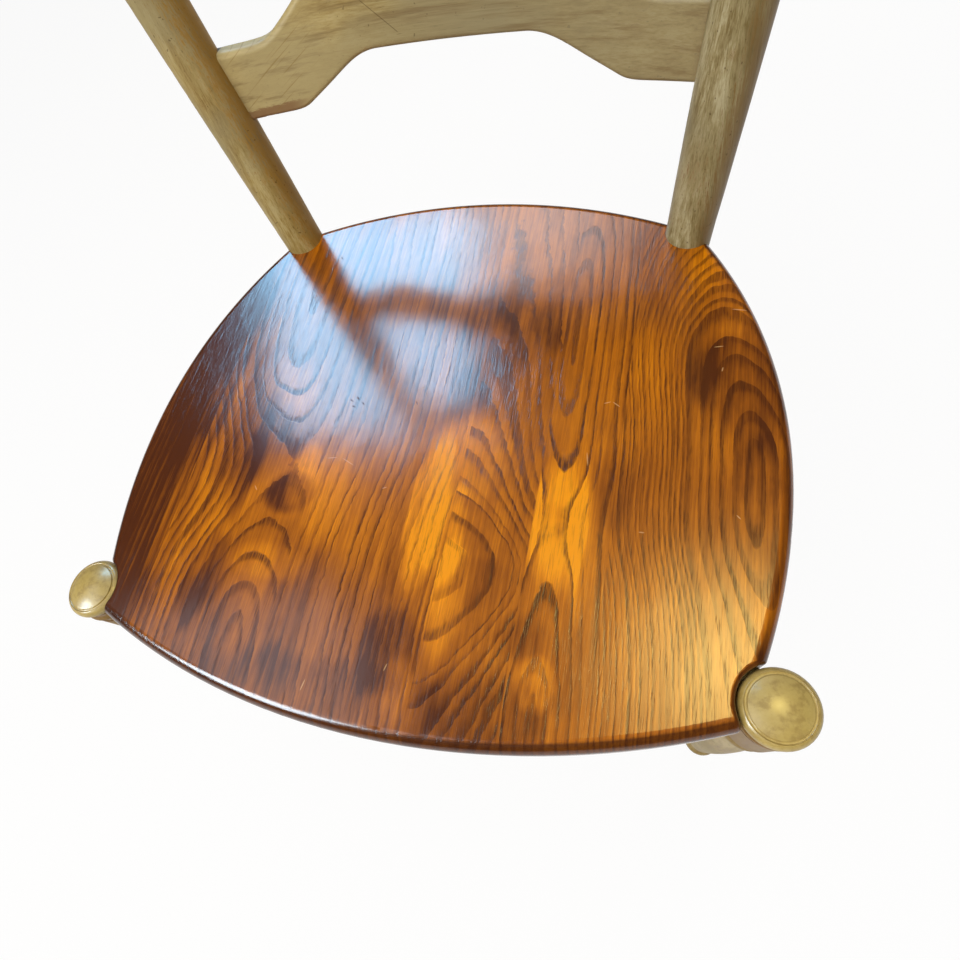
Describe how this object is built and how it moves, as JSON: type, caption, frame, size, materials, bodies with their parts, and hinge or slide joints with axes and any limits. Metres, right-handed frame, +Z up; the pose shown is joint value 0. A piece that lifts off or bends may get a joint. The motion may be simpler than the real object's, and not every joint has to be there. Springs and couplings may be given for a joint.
{
  "type": "dining chair",
  "caption": "Wheat back dining chair: stained plank seat, turned front legs, bent posts and a tied sheaf of stalks between bowed, scalloped back rails.",
  "frame": {"origin": "on the floor, under the middle of the chair's box", "axes": "+Z up, -Y to the front of the seat, +X to the right as the front of the chair is faced"},
  "size_m": [0.498, 0.4832, 0.956],
  "materials": {
    "seat_wood": "glossy stained ash",
    "painted_wood": "rubbed khaki paint over brown wood, satin",
    "steel": "plain zinc",
    "glide": "brown nylon"
  },
  "bodies": {
    "root": {"crest_rail": "painted_wood", "front_seat_rail": "painted_wood", "front_stretcher": "painted_wood", "left_back_post": "painted_wood", "left_front_glide": "glide", "left_front_leg": "painted_wood", "left_lower_stretcher": "painted_wood", "left_rear_glide": "glide", "left_seat_rail": "painted_wood", "left_upper_stretcher": "painted_wood", "lower_back_rail": "painted_wood", "rear_seat_rail": "painted_wood", "rear_stretcher": "painted_wood", "right_back_post": "painted_wood", "right_front_glide": "glide", "right_front_leg": "painted_wood", "right_lower_stretcher": "painted_wood", "right_rear_glide": "glide", "right_seat_rail": "painted_wood", "right_upper_stretcher": "painted_wood", "seat_board_1": "seat_wood", "seat_board_2": "seat_wood", "seat_board_3": "seat_wood", "seat_board_4": "seat_wood", "seat_board_5": "seat_wood", "seat_board_6": "seat_wood", "seat_screws": "steel", "sheaf_tie": "painted_wood", "tenon_pins": "steel", "wheat_stalk_1": "painted_wood", "wheat_stalk_2": "painted_wood", "wheat_stalk_3": "painted_wood", "wheat_stalk_4": "painted_wood", "wheat_stalk_5": "painted_wood", "wheat_stalk_6": "painted_wood", "wheat_stalk_7": "painted_wood"}
  },
  "joints": []
}
